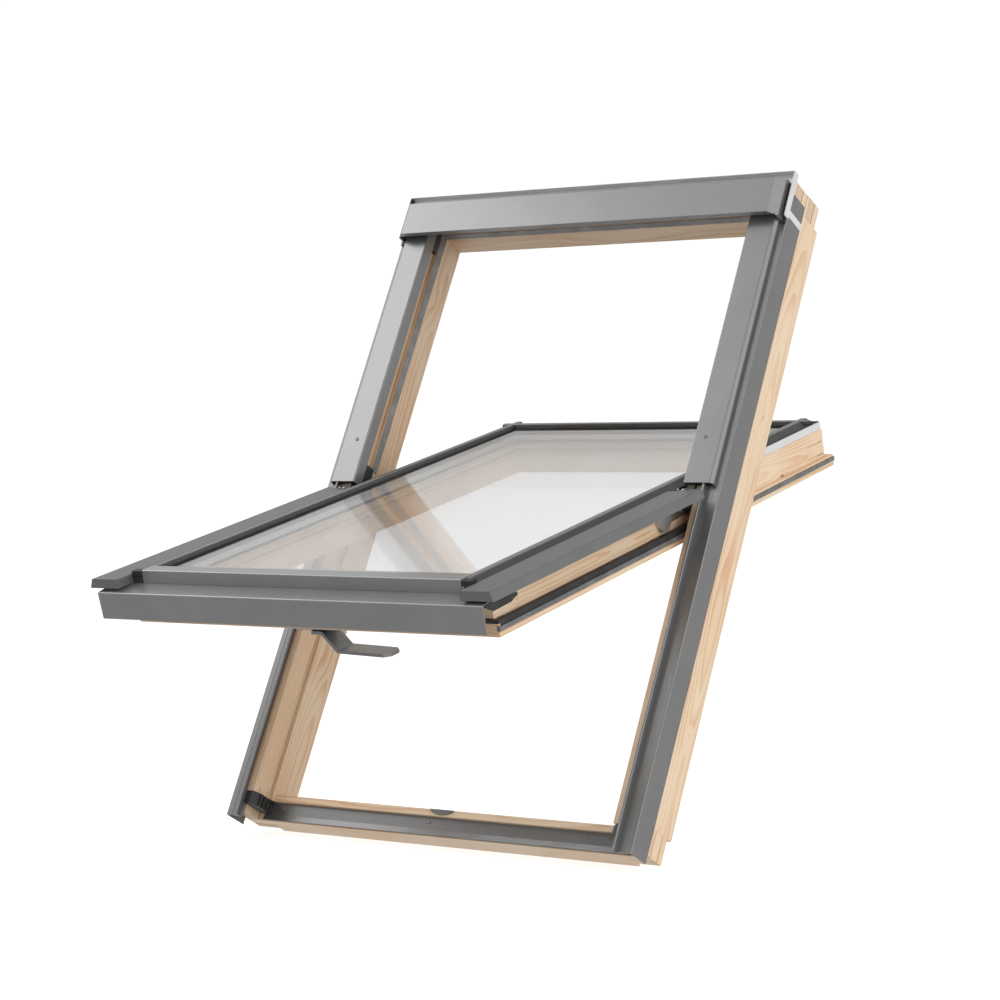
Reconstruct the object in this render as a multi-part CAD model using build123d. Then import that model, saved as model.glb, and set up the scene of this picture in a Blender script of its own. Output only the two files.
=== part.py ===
"""Centre-pivot roof window, 780 mm wide, standing at its roof pitch with the sash held open.

Two working frames are used. The frame of the window has X across, Y up the slope from the
timber's lower end and Z outwards from the room face. The sash has the same X, with Y along
the sash and Z outwards, both counted from the pivot axis. Lengths are millimetres.
"""
import os
from math import hypot

from build123d import *

# Pose
ROOF_PITCH = 63.0
OPEN_ANGLE = 50.0

# Outer frame timber
FRAME_WIDTH = 780.0
FRAME_HEIGHT = 1167.0
FRAME_DEPTH = 105.0
JAMB_ROOM = 51.0
JAMB_REBATE = 44.0
REBATE_Z = 64.0
TOP_RAIL = 39.0
TOP_REBATE = 24.0
BOTTOM_RAIL = 43.0
BOTTOM_REBATE_Z = 58.0
SILL_DEPTH = 32.0
SILL_Z = 49.0
CORNER_NOTCH = 13.0
RAIL_STRIP = 7.0
FINGER_STARTS = (29.0, 71.0)
FINGER = 21.0
KERF = 0.4

# Folded sheet
SKIN = 1.2
BEND = 1.0
TIGHT_BEND = 0.5
FIT = 0.3

# Side cladding of the frame
SKIRT_INSET = 0.8
SKIRT_FOOT_Z = 57.0
SKIRT_DROP = 13.0
SKIRT_TOP_GAP = 25.0
CROWN = 12.2
GUTTER_DEPTH = 7.0
GUTTER_WALL = 2.0
UPSTAND_INSET = 23.0
UPSTAND_RISE = 9.5

# Upper fixed covers
COVER_WIDTH = 52.5
COVER_INSET = 11.5
COVER_RISE = 12.0
COVER_RETURN = 23.0
COVER_SHOULDER = 5.0
COVER_END = 5.0

# Top casing
CASING_DROP = 81.0
CASING_TOP = 63.0
CASING_BACK = 10.0
CASING_RISE = 35.0
CASING_BACK_RISE = 15.0
CASING_SIDE_RISE = 20.0
CASING_LIP = 10.0
CASING_BEVEL = 14.0
RECESS = 6.2
END_PLATE = 1.5
END_PLATE_DROP = 75.0
END_PLATE_RISE = 12.0
END_PLATE_DEPTH = 14.0
STRIP_PROUD = 9.0
STRIP_RISE = 13.0
CAP_RISE = 3.0
CAP_DEPTH = 4.0

# Sill cover and small frame fittings
SILL_COVER_START = 1.0
SILL_COVER_INSET = 35.0
SILL_EDGE = (11.0, 2.5)
SEAL_Z = (48.0, 63.0)
SEAL_PROUD = 1.0
BLOCK_WIDTH = 21.0
BLOCK_TOP = 104.0
BLOCK_RIBS = 4
CLIP_LENGTH = 56.0
CLIP_HEIGHT = 16.0
STRIKER_LENGTH = 45.0
STRIKER_DEPTH = 9.0
STRIKER_PROUD = 1.5
TAB_DROP = 70.0
TAB_WIDTH = 12.0

# Pivot
PIVOT_Y = 604.0
PIVOT_RISE = 10.0

# Sash timber
STILE_INSET = 64.0
STILE_WIDTH = 40.0
STILE_TOP = -24.0
SASH_ROOM = -92.0
LIP_PROUD = 10.0
LIP_TOP = -72.0
SASH_FOOT_GAP = 31.0
SASH_HEAD_GAP = 68.0
LIP_FOOT = 5.0
LIP_HEAD = 13.0
SASH_RAIL = 64.0
RAIL_ROOM = 48.0
RAIL_BEVEL_Z = -60.0
GLASS_REBATE = 14.0
SASH_FINGERS = (-67.0, -45.0)
SEAL_GROOVE = (-83.0, -76.0)
GROOVE_DEPTH = 4.0
ROUTED_SLOT = (-140.0, 5.0, -69.0, -65.0)
SLOT_RUN_OUT = 30.0
SLOT_DEPTH = 3.0

# Glazing
PANE = 4.0
CAVITY = 16.0
PANE_EDGE = 3.0
SEAT_TAPE = 3.0
GLASS_TOP_Z = -9.5
SPACER_EDGE = 10.0
SPACER_WIDTH = 7.0
OUTER_PANE_PROUD = 17.0
BEAD_LAP = 8.0
BEAD_RISE = 6.5
BEAD_CREST = 9.0
BEAD_ROUND = 3.0
BEAD_OUTER_Z = -12.0

# Sash cladding
SIDE_WIDTH = 56.0
SIDE_INSET = 17.0
SIDE_Z = -8.0
SIDE_SLOPE = 5.0
SIDE_EDGE_Z = -23.0
SIDE_PROUD = 63.0
SIDE_HEAD = -21.0
SIDE_MITRE = 24.0
FRONT_INSET = 34.0
FRONT_TOP = (68.0, -28.0)
FRONT_BOTTOM = (64.0, -71.0)
LEDGE_BACK = 13.0
STEP_Z = -2.0
STEP_PROUD = 27.0
STEP_WIDTH = 28.0
TRIM_Z = -11.0
TRIM_INSET = 2.0
TRIM_START = 24.0
GASKET_RISE = 1.5
LIP_GASKET = (-76.0, -67.5)
LIP_GASKET_END = -15.0
BLADE_PROUD = 2.0
BRACKET_THICK = 3.0
BRACKET = ((-21, -37), (-2, -40), (62, -43), (62, -48), (52, -50), (45, -53), (-2, -54), (-21, -44))

# Pivot hinges
ARM_THICK = 4.0
ARM_INSET = 4.0
DISC_THICK = 7.0
LARGE_DISC = (-84.0, -43.5, 20.0)
SMALL_DISC = (-16.0, -38.0, 14.5)
ARM_END = ((5.0, -30.0), (5.0, -14.0), (-24.0, -12.0))
HOUSING_LENGTH = (42.0, 43.0)
HOUSING_RISE = 7.0
HOUSING_CHAMFER = 12.0

# Handle
HANDLE_PLATE = (80.0, 34.0, 6.0)
HANDLE_IN = 24.0
LEVER_WIDTH = 38.0
LEVER_THICK = 5.0
LEVER_PATH = (-10.0, 10.0, 36.0, 127.0)
LEVER_DROP = 28.0
LEVER_DIP = 3.0
LEVER_CORNER = 9.0
LEVER_BEND = 3.0
HANDLE_EDGE = 2.0

# Across the frame
HALF = FRAME_WIDTH / 2
JAMB_IN = HALF - JAMB_ROOM
REBATE_X = HALF - JAMB_REBATE
SKIRT_X = HALF - SKIRT_INSET
UPSTAND_IN = HALF - UPSTAND_INSET
COVER_OUT = HALF - COVER_INSET
COVER_IN = COVER_OUT - COVER_WIDTH
CASING_SIDE = SKIRT_X - RECESS
CASING_HALF = CASING_SIDE - CASING_BEVEL

# Up the frame
ORIGIN_Z = SILL_Z / 2
RAIL_HEAD = FRAME_HEIGHT - TOP_RAIL
CASING_FOOT = FRAME_HEIGHT - CASING_DROP
CASING_END = CASING_FOOT + CASING_TOP + CASING_BACK
STRIP_Y = FRAME_HEIGHT + STRIP_PROUD

# Out from the frame
RAIL_TOP_Z = FRAME_DEPTH - SKIN
COVER_Z = FRAME_DEPTH + COVER_RISE
PIVOT_Z = FRAME_DEPTH + PIVOT_RISE

# Sash, counted from the pivot axis
STILE_OUT = HALF - STILE_INSET
STILE_IN = STILE_OUT - STILE_WIDTH
LIP_OUT = STILE_OUT + LIP_PROUD
SASH_FOOT = SASH_FOOT_GAP - PIVOT_Y
SASH_HEAD = FRAME_HEIGHT - SASH_HEAD_GAP - PIVOT_Y
LEDGE_Z = STILE_TOP + SKIN
OUTER_PANE_Z = GLASS_TOP_Z - PANE
INNER_PANE_Z = OUTER_PANE_Z - CAVITY - PANE
GLASS_SEAT = INNER_PANE_Z - SEAT_TAPE
GLASS_HALF = STILE_IN + GLASS_REBATE - PANE_EDGE
SEAT_WIDTH = STILE_WIDTH - GLASS_REBATE
INNER_PANE_FOOT = SASH_FOOT + SEAT_WIDTH + PANE_EDGE
OUTER_PANE_FOOT = SASH_FOOT - OUTER_PANE_PROUD
GLASS_HEAD = SASH_HEAD - SEAT_WIDTH - PANE_EDGE
SIDE_OUT = HALF - SIDE_INSET
SIDE_IN = SIDE_OUT - SIDE_WIDTH
SIDE_FOOT = SASH_FOOT - SIDE_PROUD
STEP_FRONT = SASH_FOOT - STEP_PROUD
STEP_BACK = STEP_FRONT + STEP_WIDTH
TRIM_OUT = STILE_OUT - TRIM_INSET
HEAD_SHIFT = SASH_HEAD - STILE_OUT


def bar_y(points, start, end):
    """Bar along Y with its section given as (x, z) points."""
    plane = Plane(origin=(0, end, 0), x_dir=(1, 0, 0), z_dir=(0, -1, 0))
    return extrude(plane * make_face(Polyline(*points, close=True)), end - start)


def bar_x(points, start, end):
    """Bar along X with its section given as (y, z) points."""
    plane = Plane(origin=(start, 0, 0), x_dir=(0, 1, 0), z_dir=(1, 0, 0))
    return extrude(plane * make_face(Polyline(*points, close=True)), end - start)


def block(x, y, z):
    """Box between the two limits given for each direction."""
    return Pos((x[0] + x[1]) / 2, (y[0] + y[1]) / 2, (z[0] + z[1]) / 2) * Box(
        abs(x[1] - x[0]), abs(y[1] - y[0]), abs(z[1] - z[0])
    )


def mitred(points, distance):
    """Open path moved to its right by the distance, with mitred corners."""
    count = len(points)
    normals = []
    for (ax, ay), (bx, by) in zip(points, points[1:]):
        length = hypot(bx - ax, by - ay)
        normals.append(((by - ay) / length, (ax - bx) / length))
    moved = []
    for i, (px, py) in enumerate(points):
        n1 = normals[max(i - 1, 0)]
        n2 = normals[min(i, count - 2)]
        scale = distance / (1 + n1[0] * n2[0] + n1[1] * n2[1])
        moved.append((px + scale * (n1[0] + n2[0]), py + scale * (n1[1] + n2[1])))
    return moved


def turns_right(a, b, c):
    """Whether the path a, b, c turns to its right."""
    return (b[0] - a[0]) * (c[1] - b[1]) - (b[1] - a[1]) * (c[0] - b[0]) < 0


def folded(points, thickness=SKIN, bend=BEND):
    """Section of a folded sheet whose face follows the points, with the metal on its right."""
    back = mitred(points, thickness)
    if len(points) == 2:
        return make_face(Polyline(points[0], points[1], back[1], back[0], close=True))
    inner = [turns_right(*points[i : i + 3]) for i in range(len(points) - 2)]
    face_radii = [bend + thickness if right_hand else bend for right_hand in inner]
    back_radii = [bend if right_hand else bend + thickness for right_hand in inner]
    edges = FilletPolyline(*points, radius=face_radii)
    edges += Line(points[-1], back[-1])
    edges += FilletPolyline(*back, radius=back_radii)
    edges += Line(back[0], points[0])
    return make_face(edges)


def fold_y(points, start, end, **options):
    """Folded sheet along Y with its section given as (x, z) points."""
    plane = Plane(origin=(0, end, 0), x_dir=(1, 0, 0), z_dir=(0, -1, 0))
    return extrude(plane * folded(points, **options), end - start)


def fold_x(points, start, end, **options):
    """Folded sheet along X with its section given as (y, z) points."""
    plane = Plane(origin=(start, 0, 0), x_dir=(0, 1, 0), z_dir=(1, 0, 0))
    return extrude(plane * folded(points, **options), end - start)


def other_side(shape):
    """The same piece on the left side of the window."""
    return mirror(shape, about=Plane.YZ)


def both_sides(shape):
    """The piece and its mirror image as two solids of one node."""
    return Compound(children=[shape, other_side(shape)])


# Outer frame timber
def jamb():
    """Right jamb with its rebates, gutter seat, comb ends and room side notches."""
    seat = SKIRT_X - SKIN
    crown_in = SKIRT_X - CROWN + SKIN
    gutter_seat = FRAME_DEPTH - GUTTER_DEPTH - SKIN
    section = [
        (HALF, 0),
        (HALF, SKIRT_FOOT_Z),
        (seat, SKIRT_FOOT_Z),
        (seat, RAIL_TOP_Z - TIGHT_BEND),
        (seat - TIGHT_BEND, RAIL_TOP_Z),
        (crown_in + TIGHT_BEND, RAIL_TOP_Z),
        (crown_in, RAIL_TOP_Z - TIGHT_BEND),
        (crown_in, gutter_seat),
        (UPSTAND_IN, gutter_seat),
        (UPSTAND_IN, FRAME_DEPTH),
        (REBATE_X, FRAME_DEPTH),
        (REBATE_X, REBATE_Z),
        (JAMB_IN, REBATE_Z),
        (JAMB_IN, 0),
    ]
    body = bar_y(section, 0, FRAME_HEIGHT)
    for ends in ((-1, BOTTOM_RAIL), (RAIL_HEAD, FRAME_HEIGHT + 1)):
        body -= block((JAMB_IN - 1, HALF + 1), ends, (-1, CORNER_NOTCH))
    body -= block((JAMB_IN - 1, UPSTAND_IN), (-1, SILL_DEPTH), (SILL_Z, FRAME_DEPTH + 1))
    for finger in bottom_fingers() + top_fingers():
        body -= finger
    return body


def bottom_fingers(gap=0.0):
    """Room that the bottom rail's finger takes in the right jamb."""
    start = FINGER_STARTS[0]
    end = min(start + FINGER, SILL_Z)
    return [block((JAMB_IN, HALF), (0, BOTTOM_RAIL), (start + gap, end - gap))]


def top_fingers(gap=0.0):
    """Room that the top rail's fingers take in the right jamb."""
    low, high = FINGER_STARTS
    seat = SKIRT_X - SKIN
    whole = (RAIL_HEAD, FRAME_HEIGHT)
    outer = (FRAME_HEIGHT - TOP_REBATE, FRAME_HEIGHT)
    return [
        block((JAMB_IN, HALF), whole, (low + gap, low + FINGER - gap)),
        block((REBATE_X, seat), outer, (high + gap, high + FINGER - gap)),
    ]


def bottom_rail():
    """Bottom rail with its stepped outer side and the fingers at its ends."""
    section = [
        (0, 0),
        (BOTTOM_RAIL, 0),
        (BOTTOM_RAIL, BOTTOM_REBATE_Z),
        (SILL_DEPTH, BOTTOM_REBATE_Z),
        (SILL_DEPTH, SILL_Z),
        (0, SILL_Z),
    ]
    body = bar_x(section, -JAMB_IN, JAMB_IN)
    return body + rail_ends((0, BOTTOM_RAIL), bottom_fingers(KERF))


def rail_ends(depth, fingers):
    """Strips and fingers at both ends of a frame rail."""
    strip = block((JAMB_IN, JAMB_IN + RAIL_STRIP), depth, (0, CORNER_NOTCH))
    ends = [strip, *fingers]
    return ends + [other_side(end) for end in ends]


def top_rail():
    """Top rail with its rebate and the fingers at its ends."""
    outer = FRAME_HEIGHT - TOP_REBATE
    section = [
        (RAIL_HEAD, 0),
        (FRAME_HEIGHT, 0),
        (FRAME_HEIGHT, REBATE_Z),
        (RAIL_HEAD, REBATE_Z),
    ]
    body = bar_x(section, -JAMB_IN, JAMB_IN)
    body += block((-REBATE_X, REBATE_X), (outer, FRAME_HEIGHT), (REBATE_Z, RAIL_TOP_Z))
    return body + rail_ends((RAIL_HEAD, FRAME_HEIGHT), top_fingers(KERF))


# Frame cladding
def side_cladding():
    """Skirt, crown, gutter and upstand of the right jamb, folded from one sheet."""
    crown_in = SKIRT_X - CROWN
    gutter = FRAME_DEPTH - GUTTER_DEPTH
    path = [
        (UPSTAND_IN + SKIN, FRAME_DEPTH + UPSTAND_RISE),
        (UPSTAND_IN + SKIN, gutter),
        (crown_in - GUTTER_WALL, gutter),
        (crown_in, FRAME_DEPTH),
        (SKIRT_X, FRAME_DEPTH),
        (SKIRT_X, SKIRT_FOOT_Z),
    ]
    return fold_y(path, -SKIRT_DROP, FRAME_HEIGHT - SKIRT_TOP_GAP, bend=TIGHT_BEND)


def upper_cover():
    """Fixed cover over the upper half of the right jamb."""
    path = [
        (COVER_IN, COVER_Z - COVER_RETURN),
        (COVER_IN, COVER_Z),
        (COVER_OUT - COVER_SHOULDER, COVER_Z),
        (COVER_OUT, COVER_Z - COVER_SHOULDER),
        (COVER_OUT, FRAME_DEPTH),
    ]
    return fold_y(path, PIVOT_Y - COVER_END, FRAME_HEIGHT - TOP_REBATE)


def casing_solid(inset):
    """Outer form of the top casing, smaller by the inset on every side but its foot."""
    foot = FRAME_DEPTH
    top = FRAME_DEPTH + CASING_RISE - inset
    back = CASING_END - inset
    side = [
        (CASING_FOOT + inset, foot),
        (CASING_FOOT + inset, top),
        (CASING_FOOT + CASING_TOP, top),
        (back, FRAME_DEPTH + CASING_BACK_RISE),
        (back, foot),
    ]
    shoulder = FRAME_DEPTH + CASING_SIDE_RISE
    front = [
        (inset - CASING_SIDE, foot),
        (inset - CASING_SIDE, shoulder),
        (-CASING_HALF, top),
        (CASING_HALF, top),
        (CASING_SIDE - inset, shoulder),
        (CASING_SIDE - inset, foot),
    ]
    return bar_x(side, -CASING_SIDE, CASING_SIDE) & bar_y(front, CASING_FOOT, CASING_END)


def top_casing():
    """Hollow casing over the top rail, with a narrow lip along its open lower side."""
    body = casing_solid(0) - casing_solid(SKIN)
    mouth = COVER_OUT + FIT
    lip = FRAME_DEPTH + CASING_RISE - CASING_LIP
    return body - block((-mouth, mouth), (CASING_FOOT - 1, CASING_FOOT + 2 * SKIN), (0, lip))


def flashing_strip():
    """Angle behind the casing, with its upright edge along the top of the frame."""
    flange = FRAME_DEPTH + SKIN
    path = [(CASING_END, flange), (STRIP_Y, flange), (STRIP_Y, FRAME_DEPTH + STRIP_RISE)]
    return fold_x(path, -SKIRT_X, SKIRT_X, bend=TIGHT_BEND)


def end_plate():
    """Upright plate that closes the right end of the casing."""
    top = FRAME_DEPTH + END_PLATE_RISE
    along = (FRAME_HEIGHT - END_PLATE_DROP, STRIP_Y + SKIN)
    return block((SKIRT_X, SKIRT_X + END_PLATE), along, (top - END_PLATE_DEPTH, top))


def end_cap():
    """Dark cap in the recess between the casing and its end plate."""
    along = (CASING_FOOT - CAP_DEPTH, CASING_END)
    return block((CASING_SIDE, SKIRT_X), along, (FRAME_DEPTH, FRAME_DEPTH + CAP_RISE))


# Frame fittings
def sill_cover():
    """Plate over the outer side of the bottom rail, with its lower edge kicked out."""
    half = HALF - SILL_COVER_INSET
    fold, kick = SILL_EDGE
    face = SILL_Z + SKIN
    path = [(SILL_COVER_START, face + kick), (fold, face), (SILL_DEPTH, face)]
    return fold_x(path, -half, half)


def frame_seal():
    """Grey seal strip on the room side of the frame, above the pivot."""
    inside = JAMB_IN - SEAL_PROUD
    start = PIVOT_Y + HOUSING_LENGTH[1]
    side = block((inside, JAMB_IN), (start, RAIL_HEAD), SEAL_Z)
    head = block((-JAMB_IN, JAMB_IN), (RAIL_HEAD - SEAL_PROUD, RAIL_HEAD), SEAL_Z)
    return side + other_side(side) + head


def corner_block():
    """Ribbed plastic block in the lower right corner, over the end of the sill cover."""
    low = SILL_Z + SKIN
    inner = UPSTAND_IN - BLOCK_WIDTH
    body = block((inner, UPSTAND_IN), (SILL_EDGE[0], SILL_DEPTH), (low, BLOCK_TOP))
    edge = body.edges().filter_by(Axis.Y).group_by(Axis.Z)[-1].sort_by(Axis.X)[0]
    body = chamfer(edge, BLOCK_WIDTH / 2)
    pitch = (BLOCK_TOP - low) / (BLOCK_RIBS + 1)
    for rib in range(BLOCK_RIBS):
        z = low + pitch * (rib + 0.7)
        body -= block((inner - 1, inner + 3), (0, SILL_DEPTH + 1), (z, z + pitch / 3))
    return body


def corner_clip():
    """Plastic clip in the upper right corner, on the ledge under the cover."""
    head = FRAME_HEIGHT - TOP_REBATE
    high = REBATE_Z + CLIP_HEIGHT
    return block((JAMB_IN, REBATE_X), (head - CLIP_LENGTH, RAIL_HEAD), (REBATE_Z, high))


def striker():
    """Half round striker plate on the ledge of the bottom rail."""
    whole = Ellipse(STRIKER_LENGTH / 2, STRIKER_DEPTH)
    half_disc = whole & Pos(0, -STRIKER_DEPTH / 2) * Rectangle(STRIKER_LENGTH, STRIKER_DEPTH)
    return Pos(0, BOTTOM_RAIL, BOTTOM_REBATE_Z) * extrude(half_disc, STRIKER_PROUD)


def side_tab():
    """Small plate on the upper end of the right skirt."""
    start = FRAME_HEIGHT - TAB_DROP
    top = FRAME_DEPTH + END_PLATE_RISE - END_PLATE_DEPTH
    return block((SKIRT_X, SKIRT_X + SKIN), (start, start + TAB_WIDTH), (SKIRT_FOOT_Z, top))


# Sash timber
def stile_section():
    """Section of the right stile as (x, z) points."""
    low, high = SEAL_GROOVE
    seat = STILE_IN + GLASS_REBATE
    return [
        (STILE_IN, SASH_ROOM),
        (LIP_OUT, SASH_ROOM),
        (LIP_OUT, low),
        (LIP_OUT - GROOVE_DEPTH, low),
        (LIP_OUT - GROOVE_DEPTH, high),
        (LIP_OUT, high),
        (LIP_OUT, LIP_TOP),
        (STILE_OUT, LIP_TOP),
        (STILE_OUT, STILE_TOP),
        (seat, STILE_TOP),
        (seat, GLASS_SEAT),
        (STILE_IN, GLASS_SEAT),
    ]


def sash_fingers(end, gap=0.0):
    """Room that the finger of one sash rail takes in the right stile."""
    low, high = SASH_FINGERS
    if end < 0:
        along = (SASH_FOOT, SASH_FOOT + SASH_RAIL)
    else:
        along = (SASH_HEAD - SASH_RAIL, SASH_HEAD)
    return block((STILE_IN, STILE_OUT), along, (low + gap, high - gap))


def stile():
    """Right stile with its lip, glazing rebate, comb ends and routed slot."""
    body = bar_y(stile_section(), SASH_FOOT - LIP_FOOT, SASH_HEAD + LIP_HEAD)
    wide = (STILE_IN - 1, LIP_OUT + 1)
    body -= block(wide, (SASH_FOOT - LIP_FOOT - 1, SASH_FOOT), (LIP_TOP, 0))
    body -= block(wide, (SASH_HEAD, SASH_HEAD + LIP_HEAD + 1), (LIP_TOP, 0))
    body -= block((STILE_OUT, LIP_OUT + 1), (SASH_FOOT, LIP_GASKET_END), (LIP_GASKET[0], 0))
    body -= sash_fingers(-1) + sash_fingers(1)
    start, end, low, high = ROUTED_SLOT
    slot = [(start, low), (end, low), (end, high), (start + SLOT_RUN_OUT, high)]
    return body - bar_x(slot, STILE_OUT - SLOT_DEPTH, STILE_OUT + 1)


def sash_rail(end):
    """Bottom or top rail of the sash with its lip, bevel and end fingers."""
    edge = SASH_FOOT if end < 0 else SASH_HEAD
    lip = LIP_FOOT if end < 0 else LIP_HEAD
    outline = [
        (-lip, SASH_ROOM),
        (-lip, LIP_TOP),
        (0, LIP_TOP),
        (0, STILE_TOP),
        (SEAT_WIDTH, STILE_TOP),
        (SEAT_WIDTH, GLASS_SEAT),
        (SASH_RAIL, GLASS_SEAT),
        (SASH_RAIL, RAIL_BEVEL_Z),
        (RAIL_ROOM, SASH_ROOM),
    ]
    section = [(edge - end * across, z) for across, z in outline]
    body = bar_x(section, -STILE_IN, STILE_IN)
    finger = sash_fingers(end, KERF)
    return body + finger + other_side(finger)


# Glazing
def pane(low, foot):
    """One sheet of glass, given its lower face and its foot."""
    return block((-GLASS_HALF, GLASS_HALF), (foot, GLASS_HEAD), (low, low + PANE))


def ring(edge, width, z):
    """Flat frame along the edge of the inner pane, in from it by the edge distance."""
    body = None
    for inset in (edge, edge + width):
        across = GLASS_HALF - inset
        layer = block((-across, across), (INNER_PANE_FOOT + inset, GLASS_HEAD - inset), z)
        body = body - layer if body else layer
    return body


def bead_section():
    """Section of the right hand glazing bead as (x, z) points, outer edge beside the cladding."""
    inner = GLASS_HALF - BEAD_LAP
    crest = GLASS_TOP_Z + BEAD_RISE
    seat = GLASS_HALF + PANE_EDGE
    return [
        (inner, GLASS_TOP_Z),
        (inner + BEAD_ROUND / 2, crest - BEAD_ROUND / 2),
        (inner + BEAD_ROUND, crest),
        (inner + BEAD_ROUND + BEAD_CREST, crest),
        (inner + 2 * BEAD_ROUND + BEAD_CREST, crest - BEAD_ROUND / 2),
        (SIDE_IN, BEAD_OUTER_Z),
        (SIDE_IN, LEDGE_Z),
        (seat, LEDGE_Z),
        (seat, GLASS_TOP_Z),
    ]


def glazing_bead():
    """Rounded bead round the glass, from the step cover to the head."""
    head = SIDE_IN + HEAD_SHIFT
    across = [(x + HEAD_SHIFT, z) for x, z in bead_section()]
    side = bar_y(bead_section(), STEP_FRONT + SKIN, head)
    side -= block((0, GLASS_HALF), (SIDE_FOOT, STEP_BACK), (STILE_TOP, 0))
    return side + other_side(side) + bar_x(across, -SIDE_IN, SIDE_IN)


# Sash cladding
def sash_side_cladding():
    """Right side cladding below the pivot, mitred above and closed in front."""
    edge = SIDE_OUT - SIDE_SLOPE
    path = [(SIDE_IN, LEDGE_Z), (SIDE_IN, SIDE_Z), (edge, SIDE_Z), (SIDE_OUT, SIDE_EDGE_Z)]
    body = fold_y(path, SIDE_FOOT, SIDE_HEAD)
    cut = Polyline(
        (SIDE_IN - 1, SIDE_HEAD - SIDE_MITRE),
        (SIDE_IN - 1, SIDE_HEAD + 1),
        (SIDE_OUT, SIDE_HEAD + 1),
        close=True,
    )
    body -= extrude(make_face(cut), SIDE_OUT, both=True)
    top = SIDE_Z - SKIN
    cap = [(SIDE_IN + SKIN, LEDGE_Z), (SIDE_IN + SKIN, top), (edge, top), (SIDE_OUT - SKIN, LEDGE_Z)]
    return body + bar_y(cap, SIDE_FOOT, SIDE_FOOT + SKIN)


def sash_bottom_cladding():
    """Skirt and ledge of the sash's lower end, folded from one sheet."""
    half = HALF - FRONT_INSET
    bottom = (SASH_FOOT - FRONT_BOTTOM[0], FRONT_BOTTOM[1])
    top = (SASH_FOOT - FRONT_TOP[0], FRONT_TOP[1])
    path = [bottom, top, (STEP_FRONT, LEDGE_Z), (SASH_FOOT + LEDGE_BACK, LEDGE_Z)]
    return fold_x(path, -half, half)


def step_cover():
    """Raised cover along the lower edge of the glass."""
    path = [(STEP_FRONT, LEDGE_Z), (STEP_FRONT, STEP_Z), (STEP_BACK, STEP_Z), (STEP_BACK, GLASS_TOP_Z)]
    return fold_x(path, FIT - GLASS_HALF, GLASS_HALF - FIT)


def upper_trim():
    """Light edge trim round the upper half of the sash."""
    side_path = [(SIDE_IN + FIT, TRIM_Z), (TRIM_OUT, TRIM_Z), (TRIM_OUT, STILE_TOP)]
    head_path = [(x + HEAD_SHIFT, z) for x, z in side_path]
    side = fold_y(side_path, TRIM_START, TRIM_OUT + HEAD_SHIFT, bend=TIGHT_BEND)
    head = fold_x(head_path, -TRIM_OUT, TRIM_OUT, bend=TIGHT_BEND)
    return side + other_side(side) + head


def upper_gasket():
    """Black gasket on the upper trim, beside the glazing bead."""
    z = (TRIM_Z, TRIM_Z + GASKET_RISE)
    width = (SIDE_IN + FIT, TRIM_OUT - SKIN)
    side = block(width, (TRIM_START, width[1] + HEAD_SHIFT), z)
    along = (width[0] + HEAD_SHIFT, width[1] + HEAD_SHIFT)
    head = block((-width[1], width[1]), along, z)
    return side + other_side(side) + head


def lip_gasket():
    """Black gasket along the lip of the sash's lower half."""
    low, high = LIP_GASKET
    side = block((STILE_OUT, LIP_OUT), (SASH_FOOT, LIP_GASKET_END), (low, high))
    foot = block((-LIP_OUT, LIP_OUT), (SASH_FOOT - LIP_FOOT, SASH_FOOT), (LIP_TOP, high))
    return side + other_side(side) + foot


def lip_blade():
    """Grey sealing blade in the groove of the lip."""
    low, high = SEAL_GROOVE
    width = (LIP_OUT - GROOVE_DEPTH, LIP_OUT + BLADE_PROUD)
    side = block(width, (SASH_FOOT - LIP_FOOT, SASH_HEAD + LIP_HEAD), (low, high))
    return side + other_side(side)


def corner_bracket():
    """Black plastic bracket on the lower end of the right stile, below the cladding."""
    points = [(SASH_FOOT + along, z) for along, z in BRACKET]
    return bar_x(points, STILE_OUT, STILE_OUT + BRACKET_THICK)


# Pivot hinges
def disc(centre_y, centre_z, radius, thickness):
    """Disc on the outer face of the right stile."""
    return Pos(STILE_OUT + thickness / 2, centre_y, centre_z) * Rot(0, 90, 0) * Cylinder(radius, thickness)


def sash_hinge():
    """Right hinge arm on the stile, from the pivot axis to its two discs."""
    large, small = LARGE_DISC, SMALL_DISC
    arm = [
        (large[0], large[1] + large[2] - ARM_INSET),
        (large[0], large[1] - large[2] + 2 * ARM_INSET),
        (small[0], small[1] - small[2] + ARM_INSET / 2),
        *ARM_END,
    ]
    body = bar_x(arm, STILE_OUT, STILE_OUT + ARM_THICK)
    return body + disc(*large, DISC_THICK) + disc(*small, DISC_THICK)


def frame_hinge():
    """Right hinge housing, on the ledge of the jamb beside the sash arm."""
    below, above = HOUSING_LENGTH
    top = FRAME_DEPTH + HOUSING_RISE
    along = (PIVOT_Y - below, PIVOT_Y + above)
    body = block((STILE_OUT + DISC_THICK, REBATE_X), along, (REBATE_Z, top))
    return chamfer(body.edges().filter_by(Axis.X).group_by(Axis.Z)[-1], HOUSING_CHAMFER)


# Handle
def handle_base():
    """Base plate of the handle, under the bottom rail of the sash."""
    length, width, thick = HANDLE_PLATE
    middle = SASH_FOOT + HANDLE_IN
    across = (middle - width / 2, middle + width / 2)
    body = block((-length / 2, length / 2), across, (SASH_ROOM - thick, SASH_ROOM))
    return chamfer(body.edges().group_by(Axis.Z)[0], HANDLE_EDGE)


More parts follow.
